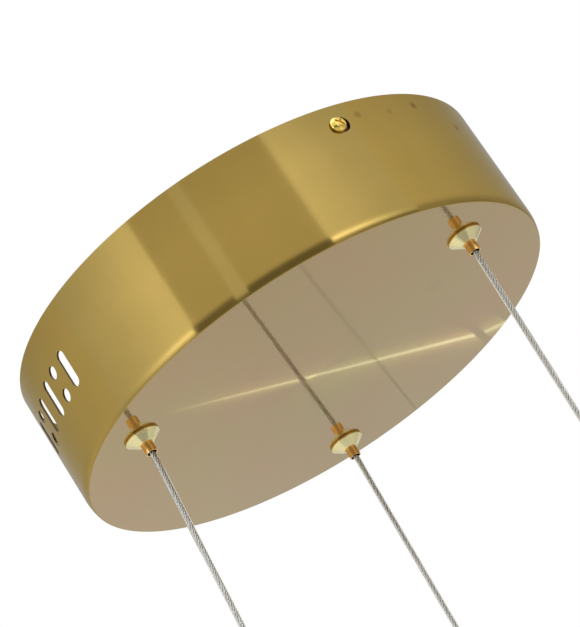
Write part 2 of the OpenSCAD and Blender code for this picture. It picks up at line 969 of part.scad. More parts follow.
// The output leads leave the driver's right end and reach down into the splices
module output_lead_right() {
  color("crimson")
    lead([
      [case_in_x, far_exit_y, exit_z], [60, far_exit_y, exit_z], [66, 51, floor_z + 14.5],
      [69.5, 51, floor_z + 25.5], [72, 51.5, floor_z + 37.5], [75.5, 52, floor_z + 46.5],
      [80.5, 52, floor_z + 51], [85, 52, floor_z + 48.7], on_axis(RIGHT, splice_top + 3),
      on_axis(RIGHT, splice_top - splice_cover)
    ]);
}

module output_lead_left() {
  color("dimgray")
    lead([
      [case_in_x, near_exit_y, exit_z], [60, near_exit_y, exit_z], [65.5, 41.5, floor_z + 13.5],
      [67, 41.5, floor_z + 19.5], [63, 41.5, floor_z + 25],
      [55, 41.5, lid_top + lead_r + move_gap],
      [10, 42, lid_top + lead_r + move_gap], [-40, 42, lid_top + lead_r + move_gap],
      [-56, 42, floor_z + 29.5], [-69, 42.5, floor_z + 40.5], [-78, 44, floor_z + 49],
      [-84, 46.4, floor_z + 51], [-87.6, 48.2, floor_z + 48],
      on_axis(LEFT, splice_top + 3),
      on_axis(LEFT, splice_top - splice_cover)
    ]);
}

mounting_strap();
side_screw(0);  // side_screw_right
side_screw(180);  // side_screw_left
canopy_shell();
floor_studs();
gripper_body(FRONT);  // gripper_body_front
gripper_body(LEFT);  // gripper_body_left
gripper_body(RIGHT);  // gripper_body_right
release_nozzle(FRONT);  // release_nozzle_front
release_nozzle(LEFT);  // release_nozzle_left
release_nozzle(RIGHT);  // release_nozzle_right
grip_balls(FRONT);  // grip_balls_front
grip_balls(LEFT);  // grip_balls_left
grip_balls(RIGHT);  // grip_balls_right
grip_spring(FRONT);  // grip_spring_front
grip_spring(LEFT);  // grip_spring_left
grip_spring(RIGHT);  // grip_spring_right
grip_plug(FRONT);  // grip_plug_front
grip_plug(LEFT);  // grip_plug_left
grip_plug(RIGHT);  // grip_plug_right
gripper_washers();
gripper_nuts();
wire(FRONT);  // wire_front
wire(LEFT);  // wire_left
wire(RIGHT);  // wire_right
wire_tail(FRONT);  // wire_tail_front
wire_tail(LEFT);  // wire_tail_left
wire_tail(RIGHT);  // wire_tail_right
wire_end(FRONT);  // wire_end_front
wire_end(LEFT);  // wire_end_left
wire_end(RIGHT);  // wire_end_right
tail_ferrule(FRONT);  // tail_ferrule_front
tail_splice(LEFT);  // tail_splice_left
tail_splice(RIGHT);  // tail_splice_right
driver_case();
driver_lid();
driver_board();
driver_transformer();
driver_capacitors();
driver_heat_sink();
driver_nuts();
terminal_block();
terminal_sleeves();
terminal_screws();
terminal_nut();
earth_lug();
earth_nut();
earth_lead();
live_lead();
neutral_lead();
output_lead_left();
output_lead_right();
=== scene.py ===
# Looks of a ceiling canopy with three suspension wires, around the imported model.
# Metres, +Z up. The origin is the middle of the canopy on the ceiling.
import json
import math

import bpy
from mathutils import Matrix, Vector

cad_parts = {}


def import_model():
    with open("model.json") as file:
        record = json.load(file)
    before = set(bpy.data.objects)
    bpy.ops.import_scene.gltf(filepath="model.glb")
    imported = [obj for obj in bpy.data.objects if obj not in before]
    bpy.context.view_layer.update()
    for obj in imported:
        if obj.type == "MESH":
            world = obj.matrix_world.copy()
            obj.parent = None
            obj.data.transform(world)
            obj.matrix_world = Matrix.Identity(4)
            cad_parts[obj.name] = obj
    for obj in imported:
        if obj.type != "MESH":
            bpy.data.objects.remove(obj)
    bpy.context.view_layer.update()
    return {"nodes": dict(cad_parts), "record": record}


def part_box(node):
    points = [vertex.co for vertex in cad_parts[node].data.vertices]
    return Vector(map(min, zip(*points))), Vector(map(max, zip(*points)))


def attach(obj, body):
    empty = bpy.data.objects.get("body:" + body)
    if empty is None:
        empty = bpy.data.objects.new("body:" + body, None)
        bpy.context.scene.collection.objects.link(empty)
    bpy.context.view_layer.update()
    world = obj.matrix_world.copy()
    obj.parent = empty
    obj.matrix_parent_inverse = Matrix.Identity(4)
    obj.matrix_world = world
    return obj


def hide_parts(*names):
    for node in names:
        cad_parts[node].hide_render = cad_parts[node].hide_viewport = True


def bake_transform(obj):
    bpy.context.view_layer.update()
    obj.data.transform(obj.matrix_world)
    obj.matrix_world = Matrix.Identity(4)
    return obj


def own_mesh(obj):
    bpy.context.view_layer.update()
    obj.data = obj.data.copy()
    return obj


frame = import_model()
nodes = frame["nodes"]

MM = 0.001
SAME_POINT = 0.002 * MM
SIDES = ("front", "left", "right")

# Sizes that the frame gives
shell_low, shell_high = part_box("canopy_shell")
CANOPY_R = shell_high.x
FACE_Z = shell_low.z

# Sizes of the drum. Its lower edge leans in slowly and ends in a tight corner.
SHEET_T = 1 * MM
FLOOR_Z = FACE_Z + SHEET_T
EASE = 5.4 * MM
EASE_LEAN = math.radians(18)
EASE_STEPS = 12
CORNER_R = 0.5 * MM
CORNER_STEPS = 6
EDGE_H = EASE + CORNER_R
INNER_ROLL = (1.2 * MM, 2.4 * MM)
INNER_ROLL_STEPS = 12
DRUM_VERTICES = 384

# The drum's openings. Angles are in degrees, and drops are below the ceiling. The faces that
# they cut lie deeper than CUT_BELOW in the sheet, and in the disc further in than CUT_INWARDS.
VENT_ANGLE = -96.4
VENT_DROP = 27.8 * MM
VENT_SLOT = (19.4 * MM, 6 * MM)
VENT_DOT = (6.6 * MM, 6.6 * MM)
VENT_DOT_GAP = 12.9 * MM
VENT_PITCH = 12.2 * MM
VENT_MIDDLE = 15.5 * MM
SCREW_DROP = 10.8 * MM
KEYHOLE = (8.6 * MM, 8.6 * MM)
KEYHOLE_NECK = 4.6 * MM
KEYHOLE_SHIFT = CANOPY_R * math.sin(math.radians(0.9))
KEYHOLE_PLAY = 1.3 * MM
CUTTER_DEPTH = 8 * MM
CUTTER_VERTICES = 48
CUT_BELOW = 0.1 * MM
CUT_INWARDS = 10 * MM

# Sizes of the grippers. Heights are from the disc's outer face.
STUD_R = 5.45 * MM
STUD_TOP = 15.5 * MM
BORE = (2 * STUD_R + 0.2 * MM, 2 * STUD_R + 0.2 * MM)
SPRING_BORE_R = 4.15 * MM
RIM_R = 8.8 * MM
RIM_T = 1.1 * MM
CONE_TIP_Z = -4.8 * MM
CONE_TIP_R = 4.03 * MM
NOZZLE_R = 2.93 * MM
NOZZLE_BORE_R = 2.43 * MM
MOUTH_Z = -9.7 * MM
CAGE_TOP = 3.6 * MM
COLLAR_R = 3.93 * MM
COLLAR_T = 0.6 * MM
BALLS = 3
BALL_Z = 2 * MM
BALL_R = 1 * MM
WINDOW = (2 * BALL_R + 0.2 * MM, 2 * BALL_R + 0.2 * MM)
WINDOW_WAY = 4.2 * MM
INNER_CONE_TOP = BALL_Z + 2 * MM
INNER_CONE_FOOT = -1.85 * MM
RUN_GAP = 0.05 * MM
SPRING_LOW = 3.95 * MM
SPRING_HIGH = 12.15 * MM
SPRING_R = 3.29 * MM
SPRING_WIRE_R = 0.3 * MM
SPRING_TURNS = 5
SPRING_STEPS = 24

# Sizes of the wires. They lean by so many degrees, towards one azimuth.
WIRE_D = 3 * MM
WIRE_FREE = 113 * MM
WIRE_STRAIGHT = 3 * MM
TAIL_TOP = 32 * MM
LEAN = {"front": 4.5, "left": 2.8, "right": 2.4}
LEAN_AZIMUTH = 240
STRAND_D = 0.45 * MM
STRAND_WAY = 0.667 * MM
STRANDS = 6
CORE_R = 0.7 * STRAND_D
LAY = 9 * MM
STEPS_A_TURN = 12
JACKET_STEP = 8 * MM

# Sizes of the leads and of the splices that two of them go into
LEAD_R = 1.1 * MM
SPLICE_TOP = 42 * MM
SPLICE_COVER = 7 * MM
ABOVE_SPLICE = 3 * MM


def axis_on_face(side):
    """Where the axis of a gripper meets the disc's outer face."""
    low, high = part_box("gripper_body_" + side)
    return Vector(((low.x + high.x) / 2, (low.y + high.y) / 2, FACE_Z))


AXIS = {side: axis_on_face(side) for side in SIDES}
SLOT_OF = {part["node"]: part["material_slot"] for part in frame["record"]["subparts"]}
BODY_OF = {node: body for body, held in frame["record"]["behaviour"]["bodies"].items()
           for node in held}


def deselect():
    for o in bpy.context.selected_objects:
        o.select_set(False)


def only(o):
    """Makes o the only selected object, and the active one."""
    deselect()
    o.select_set(True)
    bpy.context.view_layer.objects.active = o


def named(name):
    """The primitive that was just added, under its name and with its place in its mesh."""
    o = bpy.context.active_object
    o.name = name
    o.data.name = name
    bpy.ops.object.transform_apply(location=True, rotation=True, scale=True)
    return o


def edit(on=True):
    bpy.ops.object.mode_set(mode="EDIT" if on else "OBJECT")


def pick(o, chosen):
    """In edit mode, selects the vertices for which chosen(place) holds."""
    bpy.ops.mesh.select_all(action="DESELECT")
    bpy.ops.mesh.select_mode(type="VERT")
    edit(False)
    for v in o.data.vertices:
        v.select = chosen(v.co)
    edit()


def finish_modifiers(o):
    only(o)
    for m in list(o.modifiers):
        bpy.ops.object.modifier_apply(modifier=m.name)


def smooth(o, angle):
    only(o)
    bpy.ops.object.shade_smooth_by_angle(angle=math.radians(angle))


def weighted(o):
    """Keeps the shading of flat faces flat, next to rounded edges."""
    w = o.modifiers.new("flat_faces", "WEIGHTED_NORMAL")
    w.keep_sharp = True
    finish_modifiers(o)


def bevelled(o, width, segments, angle):
    """Breaks the edges that are sharper than an angle in degrees."""
    m = o.modifiers.new("edges", "BEVEL")
    m.width = width
    m.segments = segments
    m.limit_method = "ANGLE"
    m.angle_limit = math.radians(angle)
    m.use_clamp_overlap = True
    finish_modifiers(o)
    smooth(o, 40)
    weighted(o)


def joined(pieces):
    only(pieces[0])
    for p in pieces[1:]:
        p.select_set(True)
    if len(pieces) > 1:
        bpy.ops.object.join()
    return bpy.context.active_object


def cut(o, cutters):
    """Takes the cutters out of o and removes them."""
    tool = joined(cutters)
    m = o.modifiers.new("cut", "BOOLEAN")
    m.object = tool
    m.solver = "EXACT"
    m.operation = "DIFFERENCE"
    finish_modifiers(o)
    bpy.data.objects.remove(tool)


def extruded(rings, r, z):
    """In edit mode, extrudes the selected edges, at radius r and height z, through the rings."""
    for next_r, next_z in rings:
        bpy.ops.mesh.extrude_edges_move(TRANSFORM_OT_translate={"value": (0, 0, next_z - z)})
        bpy.ops.transform.resize(value=(next_r / r, next_r / r, 1),
                                 center_override=(0, 0, next_z))
        r, z = next_r, next_z


def turned(name, rings, vertices):
    """A turned ring about the Z axis: a circle of edges extruded through (radius, height) all
    the way round its outline."""
    deselect()
    r, z = rings[0]
    bpy.ops.mesh.primitive_circle_add(vertices=vertices, radius=r, fill_type="NOTHING",
                                      location=(0, 0, z))
    o = named(name)
    edit()
    bpy.ops.mesh.select_mode(type="EDGE")
    bpy.ops.mesh.select_all(action="SELECT")
    extruded(rings[1:] + rings[:1], r, z)
    bpy.ops.mesh.select_all(action="SELECT")
    bpy.ops.mesh.remove_doubles(threshold=SAME_POINT)
    bpy.ops.mesh.normals_make_consistent(inside=False)
    edit(False)
    return o


def new_object(name, data):
    data.name = name
    o = bpy.data.objects.new(name, data)
    bpy.context.scene.collection.objects.link(o)
    return o


def copied(o, name):
    return new_object(name, o.data.copy())


# Materials
NOISE_SPAN = (0.3, 0.7)
BRUSH_TURN = 0.004
PATCH_SHARE = 0.65
MARK_TINT = (0.42, 0.15, 0.01)
# Painted shade: a tint that darkens the side's colour towards the ceiling, over a span of heights
CEILING_SHADE_TINT = (0.1, 0.1, 0.08)
CEILING_SHADE_SPAN = (-30 * MM, 0)
CEILING_SHADE_SHARE = 0.12


def shader(name):
    """A new node material: its shader, a function that adds a node and one that links."""
    m = bpy.data.materials.new(name)
    m.use_nodes = True
    tree = m.node_tree

    def add(kind, **values):
        n = tree.nodes.new(kind)
        for k, v in values.items():
            if k in n.inputs:
                n.inputs[k].default_value = v
            else:
                setattr(n, k, v)
        return n

    return m, tree.nodes["Principled BSDF"], add, tree.links.new


def noise(add, link, scale, detail, place=None):
    """A noise over a place, or else over the object's own coordinates."""
    n = add("ShaderNodeTexNoise", Scale=scale, Detail=detail)
    if place is None:
        place = add("ShaderNodeTexCoord").outputs["Object"]
    link(place, n.inputs["Vector"])
    return n.outputs["Fac"]


def mapped(add, link, source, span, ends, kind="LINEAR"):
    """Maps a value from a span onto two ends, and no further."""
    m = add("ShaderNodeMapRange", interpolation_type=kind)
    for key, value in zip(("From Min", "From Max", "To Min", "To Max"), (*span, *ends)):
        m.inputs[key].default_value = value
    link(source, m.inputs["Value"])
    return m.outputs["Result"]


def tints(add, link, source, low, high):
    """Spreads a noise over two colours."""
    ramp = add("ShaderNodeValToRGB")
    for element, position, colour in zip(ramp.color_ramp.elements, NOISE_SPAN, (low, high)):
        element.position = position
        element.color = (*colour, 1)
    link(source, ramp.inputs["Fac"])
    return ramp.outputs["Color"]


def multiplied(add, link, colour, tint, share):
    """A colour multiplied by a tint, as far as the share says."""
    mix = add("ShaderNodeMix", data_type="RGBA", blend_type="MULTIPLY")
    link(share, mix.inputs["Factor"])
    link(colour, mix.inputs["A"])
    mix.inputs["B"].default_value = (*tint, 1)
    return mix.outputs["Result"]


def spun_place(add, link, coord):
    """A place for brush marks that run round the drum's axis: radius, height and a slow angle."""
    place = add("ShaderNodeSeparateXYZ")
    link(coord.outputs["Object"], place.inputs[0])
    flat = add("ShaderNodeCombineXYZ")
    link(place.outputs["X"], flat.inputs["X"])
    link(place.outputs["Y"], flat.inputs["Y"])
    radius = add("ShaderNodeVectorMath", operation="LENGTH")
    link(flat.outputs[0], radius.inputs[0])
    angle = add("ShaderNodeMath", operation="ARCTAN2")
    link(place.outputs["Y"], angle.inputs[0])
    link(place.outputs["X"], angle.inputs[1])
    slow = add("ShaderNodeMath", operation="MULTIPLY")
    slow.inputs[1].default_value = BRUSH_TURN
    link(angle.outputs[0], slow.inputs[0])
    spun = add("ShaderNodeCombineXYZ")
    link(radius.outputs["Value"], spun.inputs["X"])
    link(place.outputs["Z"], spun.inputs["Y"])
    link(slow.outputs[0], spun.inputs["Z"])
    return spun.outputs[0], place


def marked(add, link, coord, colour, marks):
    """Darkens a colour at small worn marks, each with a place, a radius and a depth."""
    for place, radius, depth in marks:
        away = add("ShaderNodeVectorMath", operation="DISTANCE")
        link(coord.outputs["Object"], away.inputs[0])
        away.inputs[1].default_value = place
        share = mapped(add, link, away.outputs["Value"], (0, radius), (depth, 0), "SMOOTHSTEP")
        colour = multiplied(add, link, colour, MARK_TINT, share)
    return colour


def on_drum(angle, drop):
    a = math.radians(angle)
    return (CANOPY_R * math.cos(a), CANOPY_R * math.sin(a), -drop)


# Small marks of use on the side, near the ceiling, and one on the disc
SIDE_MARKS = (
    (on_drum(6.0, 8.1 * MM), 2.8 * MM, 0.45), (on_drum(14.5, 9.8 * MM), 2.2 * MM, 0.35),
    (on_drum(23.1, 7.2 * MM), 3.0 * MM, 0.75), (on_drum(35.4, 18.0 * MM), 3.0 * MM, 1.0))
DISC_MARKS = (((46.5 * MM, 50.4 * MM, FACE_Z), 7 * MM, 0.12),)


def brass(name, low, high, roughness, coat, coat_roughness, edge_tint, marks, patches):
    """Brass, spun round the drum's axis, under a thin clear lacquer. Its colour is darkened a
    little towards the ceiling, as painted shade."""
    m, p, add, link = shader(name)
    coord = add("ShaderNodeTexCoord")
    spun, place = spun_place(add, link, coord)
    cloud = noise(add, link, patches, 3.0, coord.outputs["Object"])
    both = add("ShaderNodeMix", data_type="FLOAT")
    both.inputs["Factor"].default_value = PATCH_SHARE
    link(noise(add, link, 2600.0, 2.0, spun), both.inputs["A"])
    link(cloud, both.inputs["B"])
    colour = tints(add, link, both.outputs["Result"], low, high)
    # Painted shade: the colour is darkened towards the ceiling
    ceiling_shade = mapped(add, link, place.outputs["Z"], CEILING_SHADE_SPAN, (0, CEILING_SHADE_SHARE), "SMOOTHSTEP")
    colour = multiplied(add, link, colour, CEILING_SHADE_TINT, ceiling_shade)
    link(marked(add, link, coord, colour, marks), p.inputs["Base Color"])
    link(mapped(add, link, cloud, NOISE_SPAN, (roughness * 0.9, roughness * 1.1)),
         p.inputs["Roughness"])
    p.inputs["Specular Tint"].default_value = (*edge_tint, 1)
    p.inputs["Metallic"].default_value = 1
    p.inputs["Anisotropic"].default_value = 1
    p.inputs["Anisotropic Rotation"].default_value = 0.25
    p.inputs["Coat Weight"].default_value = coat
    p.inputs["Coat Roughness"].default_value = coat_roughness
    tangent = add("ShaderNodeTangent", direction_type="RADIAL", axis="Z")
    link(tangent.outputs[0], p.inputs["Tangent"])
    return m


def plain_metal(name, colour, roughness, scale=900.0, depth=0.12):
    """A turned, stamped or plated metal with a fine grain."""
    m, p, add, link = shader(name)
    grain = noise(add, link, scale, 3.0)
    link(tints(add, link, grain, [c * (1 - depth) for c in colour], colour),
         p.inputs["Base Color"])
    link(mapped(add, link, grain, NOISE_SPAN, (roughness * 0.8, roughness * 1.2)),
         p.inputs["Roughness"])
    p.inputs["Metallic"].default_value = 1
    return m


def plastic(name, colour, roughness=0.45):
    """Moulded plastic with a faint sparked grain."""
    m, p, add, link = shader(name)
    grain = noise(add, link, 1200.0, 2.0)
    link(tints(add, link, grain, [c * 0.88 for c in colour], colour), p.inputs["Base Color"])
    link(mapped(add, link, grain, NOISE_SPAN, (roughness - 0.08, roughness + 0.08)),
         p.inputs["Roughness"])
    bump = add("ShaderNodeBump", Strength=0.2, Distance=0.05 * MM)
    link(grain, bump.inputs["Height"])
    link(bump.outputs[0], p.inputs["Normal"])
    return m


def earth_insulation():
    """Green insulation with a yellow stripe, which runs along the lead."""
    m, p, add, link = shader("earth_insulation")
    round_lead = add("ShaderNodeAttribute", attribute_name="round_lead")
    stripe = mapped(add, link, round_lead.outputs["Fac"], (0.15, 0.25), (0, 1))
    grain = noise(add, link, 1500.0, 2.0)
    green = tints(add, link, grain, (0.02, 0.20, 0.03), (0.03, 0.26, 0.04))
    yellow = tints(add, link, grain, (0.68, 0.55, 0.03), (0.78, 0.64, 0.04))
    mix = add("ShaderNodeMix", data_type="RGBA")
    link(stripe, mix.inputs["Factor"])
    link(green, mix.inputs["A"])
    link(yellow, mix.inputs["B"])
    link(mix.outputs["Result"], p.inputs["Base Color"])
    p.inputs["Roughness"].default_value = 0.35
    return m


def clear_jacket():
    m, p, add, link = shader("clear_jacket")
    grain = noise(add, link, 700.0, 2.0)
    link(mapped(add, link, grain, NOISE_SPAN, (0.05, 0.10)), p.inputs["Roughness"])
    p.inputs["Base Color"].default_value = (0.95, 0.96, 0.94, 1)
    p.inputs["Transmission Weight"].default_value = 1
    p.inputs["IOR"].default_value = 1.45
    return m


SIDE_BRASS = brass("side_brass", (0.340, 0.226, 0.046), (0.372, 0.248, 0.054), 0.14, 0.25, 0.14,
                   (0.84, 0.76, 0.54), SIDE_MARKS, 38.0)
DISC_BRASS = brass("disc_brass", (0.385, 0.203, 0.040), (0.340, 0.250, 0.032), 0.07, 0.8, 0.03,
                   (1, 1, 1), DISC_MARKS, 16.0)
CUT_EDGE = plain_metal("cut_edge", (0.14, 0.10, 0.05), 0.45)
# Painted shade: the strap inside the drum is near black brown, for the shade behind the keyholes
# and vents
STRAP_PAINTED_SHADE = plain_metal("strap_painted_shade", (0.075, 0.045, 0.022), 0.45, 500.0, 0.14)
RIM_GOLD = plain_metal("rim_gold", (0.74, 0.51, 0.15), 0.12)
STRAND = plain_metal("strand_steel", (0.86, 0.84, 0.79), 0.35)
# Painted shade: the rope's middle strand is near black, so the gaps between the strands look
# shaded
GROOVE_SHADE_CORE = plain_metal("core_groove_shade", (0.12, 0.11, 0.10), 0.5)
JACKET = clear_jacket()
LOOKS = {
    # Painted shade: the zinc steel is darkened to a brown, as the shade inside the drum
    "zinc_steel": plain_metal("zinc_steel", (0.20, 0.17, 0.11), 0.36, 500.0, 0.14),
    "gold_screw": plain_metal("gold_screw", (0.88, 0.63, 0.14), 0.12),
    "satin_brass": SIDE_BRASS,
    "pale_gold": plain_metal("pale_gold", (0.76, 0.68, 0.36), 0.12),
    "copper_gold": plain_metal("copper_gold", (0.92, 0.56, 0.18), 0.16),
    "ball_steel": plain_metal("ball_steel", (0.62, 0.62, 0.63), 0.08),
    "spring_steel": plain_metal("spring_steel", (0.50, 0.50, 0.52), 0.2),
    "wire_rope": STRAND,
    "ferrule_brass": plain_metal("ferrule_brass", (0.62, 0.47, 0.22), 0.3),
    "splice_red": plastic("splice_red", (0.55, 0.03, 0.03), 0.35),
    "white_plastic": plastic("white_plastic", (0.80, 0.80, 0.78)),
    "lid_plastic": plastic("lid_plastic", (0.74, 0.74, 0.72)),
    "board_green": plastic("board_green", (0.03, 0.20, 0.08), 0.35),
    "transformer_tape": plastic("transformer_tape", (0.72, 0.58, 0.10), 0.4),
    "capacitor_black": plastic("capacitor_black", (0.03, 0.03, 0.035), 0.35),
    "sink_aluminium": plain_metal("sink_aluminium", (0.70, 0.71, 0.72), 0.35),
    "terminal_white": plastic("terminal_white", (0.78, 0.78, 0.74)),
    "terminal_brass": plain_metal("terminal_brass", (0.66, 0.50, 0.22), 0.28),
    "lead_green_yellow": earth_insulation(),
    "lead_brown": plastic("lead_brown", (0.17, 0.07, 0.03), 0.4),
    "lead_blue": plastic("lead_blue", (0.03, 0.14, 0.45), 0.4),
    "lead_black": plastic("lead_black", (0.02, 0.02, 0.02), 0.4),
    "lead_red": plastic("lead_red", (0.50, 0.02, 0.02), 0.4),
}


def dress(o, *materials):
    o.data.materials.clear()
    for m in materials:
        o.data.materials.append(m)


def dress_nodes():
    """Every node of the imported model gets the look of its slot."""
    for name, slot in SLOT_OF.items():
        dress(nodes[name], LOOKS[slot])


def placed(piece, node, blended=False):
    """Puts a piece in the place of a node, with its slot, and unless it is blended between
    two bodies, with its body."""
    if not piece.data.materials:
        dress(piece, LOOKS[SLOT_OF[node]])
    if not blended:
        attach(piece, BODY_OF[node])
    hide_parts(node)


# The camera, at the place that the photograph was taken from
CAMERA_PLACE = Vector((1.1715, -0.7652, -0.6042))
CAMERA_RIGHT = Vector((0.28334, 0.81166, -0.51081))
CAMERA_DOWN = Vector((-0.56728, -0.28761, -0.77167))
CAMERA_FORWARD = Vector((-0.77324, 0.50842, 0.37895))
CAMERA_LENS = 182.18
CAMERA_SENSOR = 36


def camera():
    data = bpy.data.cameras.new("camera")
    o = new_object("camera", data)
    turn = Matrix((CAMERA_RIGHT, -CAMERA_DOWN, -CAMERA_FORWARD)).transposed()
    o.matrix_world = Matrix.Translation(CAMERA_PLACE) @ turn.to_4x4()
    data.lens = CAMERA_LENS
    data.sensor_width = CAMERA_SENSOR
    data.sensor_fit = "AUTO"
    data.clip_start = 0.01
    data.clip_end = 50
    bpy.context.scene.camera = o


# Wires and leads
def tubes(name, lines, radius, resolution):
    """A mesh of round tubes along the lines."""
    data = bpy.data.curves.new(name, "CURVE")
    data.dimensions = "3D"
    data.bevel_depth = radius
    data.bevel_resolution = resolution
    data.use_fill_caps = True
    for points in lines:
        spline = data.splines.new("POLY")
        spline.points.add(len(points) - 1)
        for k, point in enumerate(points):
            spline.points[k].co = (*point, 1)
    only(new_object(name, data))
    bpy.ops.object.convert(target="MESH")
    o = bpy.context.active_object
    o.name = name
    o.data.name = name
    smooth(o, 60)
    return o


def wire_down(side):
    lean, azimuth = math.radians(LEAN[side]), math.radians(LEAN_AZIMUTH)
    return Vector((math.cos(azimuth) * math.sin(lean), math.sin(azimuth) * math.sin(lean),
                   -math.cos(lean)))


def on_axis(side, height):
    """A point on a gripper's axis, at a height from the disc's outer face."""
    return AXIS[side] + Vector((0, 0, height))


def on_wire(side, way):
    """A point on the wire's middle line, at a way below its nozzle's mouth."""
    if way < WIRE_STRAIGHT:
        return on_axis(side, MOUTH_Z - way)
    return on_axis(side, MOUTH_Z - WIRE_STRAIGHT) + wire_down(side) * (way - WIRE_STRAIGHT)


def rope(name, line, length):
    """A wire rope of one straight strand and six round it, in a clear jacket, along line(way).
    The straight strand is near black, as painted shade in the gaps between the strands.
    """
    rings = int(length / LAY * STEPS_A_TURN)
    lines = [[line(length * k / rings) for k in range(rings + 1)]]
    reach = 0.1 * MM
    for strand in range(STRANDS):
        points = []
        for k in range(rings + 1):
            way = length * k / rings
            ahead = (line(min(way + reach, length)) - line(max(way - reach, 0))).normalized()
            a = ahead.cross(Vector((0, 1, 0))).normalized()
            b = ahead.cross(a)
            turn = 2 * math.pi * (way / LAY + strand / STRANDS)
            points.append(line(way) + (a * math.cos(turn) + b * math.sin(turn)) * STRAND_WAY)
        lines.append(points)
    core = tubes(name + "_core", lines[:1], CORE_R, 1)
    dress(core, GROOVE_SHADE_CORE)
    strands = tubes(name, lines[1:], STRAND_D / 2, 1)
    dress(strands, STRAND)
    steps = int(length / JACKET_STEP)
    ends = {length * k / steps for k in range(steps + 1)} | {WIRE_STRAIGHT}
    jacket = tubes(name + "_jacket", [[line(w) for w in sorted(ends)]], WIRE_D / 2, 6)
    dress(jacket, JACKET)
    return joined([strands, core, jacket])


def wires():
    for side in SIDES:
        wire = rope("suspension_wire_" + side, lambda way: on_wire(side, way), WIRE_FREE)
        placed(wire, "wire_" + side)
        tail = rope("wire_inside_" + side, lambda way: on_axis(side, TAIL_TOP - way),
                    TAIL_TOP - MOUTH_Z)
        placed(tail, "wire_tail_" + side)


def route(points, steps=6):
    """A smooth line through the points, straight for its first and its last stretch."""
    inner = points[1:-1]
    line = [points[0]]
    for k in range(len(inner) - 1):
        a = inner[max(k - 1, 0)]
        b = inner[k]
        c = inner[k + 1]
        d = inner[min(k + 2, len(inner) - 1)]
        for j in range(steps):
            s = j / steps
            line.append(0.5 * (2 * b + (c - a) * s + (2 * a - 5 * b + 4 * c - d) * s ** 2
                               + (3 * b - a - 3 * c + d) * s ** 3))
    return line + [inner[-1], points[-1]]


def mark_round(o, line):
    """Notes on each point of a lead which way round the lead it lies, from -1 to 1."""
    note = o.data.attributes.new("round_lead", "FLOAT", "POINT")
    side = Vector((0, 0, 1))
    sides = []
    for k in range(len(line)):
        ahead = (line[min(k + 1, len(line) - 1)] - line[max(k - 1, 0)]).normalized()
        side = (side - ahead * side.dot(ahead)).normalized()
        sides.append(side)
    for v in o.data.vertices:
        k = min(range(len(line)), key=lambda n: (line[n] - v.co).length_squared)
        out = v.co - line[k]
        note.data[v.index].value = out.dot(sides[k]) / max(out.length, 1e-9)


def above_floor(x, y, height):
    return Vector((x * MM, y * MM, FLOOR_Z + height * MM))


# The leads' routes: x and y, and the height above the canopy's floor, in millimetres
BLOCK_SIDE_Y = 10.25
BLOCK_POLE_H = 5.6
EXIT_X = 51.4
EXIT_H = 11
NEAR_EXIT_Y = 41.5
FAR_EXIT_Y = 50.5
LUG_X = 21.8
LUG_H = 1.9
LEAD_LID_H = 25.4
LEAD_ROUTES = {
    "live_lead": [
        (-34.3, BLOCK_SIDE_Y, BLOCK_POLE_H), (-34.3, 17.25, BLOCK_POLE_H), (-37.3, 21.25, 8.6),
        (-52, 24, 12.5), (-65, 29.5, 12.5), (-70, 36.5, 11.5), (-66, 41, EXIT_H),
        (-60, NEAR_EXIT_Y, EXIT_H), (-EXIT_X, NEAR_EXIT_Y, EXIT_H)],
    "neutral_lead": [
        (-27.4, BLOCK_SIDE_Y, BLOCK_POLE_H), (-27.4, 17.25, BLOCK_POLE_H), (-31.4, 21.25, 11.6),
        (-52, 20, 19.5), (-70, 28, 20.5), (-76, 41, 16.5), (-70, 49.5, 12),
        (-61, FAR_EXIT_Y, EXIT_H), (-EXIT_X, FAR_EXIT_Y, EXIT_H)],
    "earth_lead": [
        (-14, BLOCK_SIDE_Y, BLOCK_POLE_H), (-14, 17.25, BLOCK_POLE_H), (-9, 21.25, 8.6),
        (0, 21, 11.5), (8, 13, 4.5), (LUG_X - 5, 8, LUG_H), (LUG_X + 4.95, 8, LUG_H)],
    "output_lead_right": [
        (EXIT_X, FAR_EXIT_Y, EXIT_H), (60, FAR_EXIT_Y, EXIT_H), (66, 51, 14.5), (69.5, 51, 25.5),
        (72, 51.5, 37.5), (75.5, 52, 46.5), (80.5, 52, 51), (85, 52, 48.7)],
    "output_lead_left": [
        (EXIT_X, NEAR_EXIT_Y, EXIT_H), (60, NEAR_EXIT_Y, EXIT_H), (65.5, 41.5, 13.5),
        (67, 41.5, 19.5), (63, 41.5, 25), (55, 41.5, LEAD_LID_H), (10, 42, LEAD_LID_H),
        (-40, 42, LEAD_LID_H), (-56, 42, 29.5), (-69, 42.5, 40.5), (-78, 44, 49),
        (-84, 46.4, 51), (-87.6, 48.2, 48)],
}
# The point of a route from which an output lead begins to follow its wire
FOLLOWS_FROM = {"right": 3, "left": 9}


def leads():
    for name, places in LEAD_ROUTES.items():
        points = [above_floor(*place) for place in places]
        side = name.rpartition("_")[2]
        follows = side in FOLLOWS_FROM
        if follows:
            points += [on_axis(side, SPLICE_TOP + ABOVE_SPLICE),
                       on_axis(side, SPLICE_TOP - SPLICE_COVER)]
        line = route(points)
        lead = tubes("insulated_" + name, [line], LEAD_R, 4)
        placed(lead, name, blended=follows)
        if name == "earth_lead":
            mark_round(lead, line)
        if follows:
            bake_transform(lead)


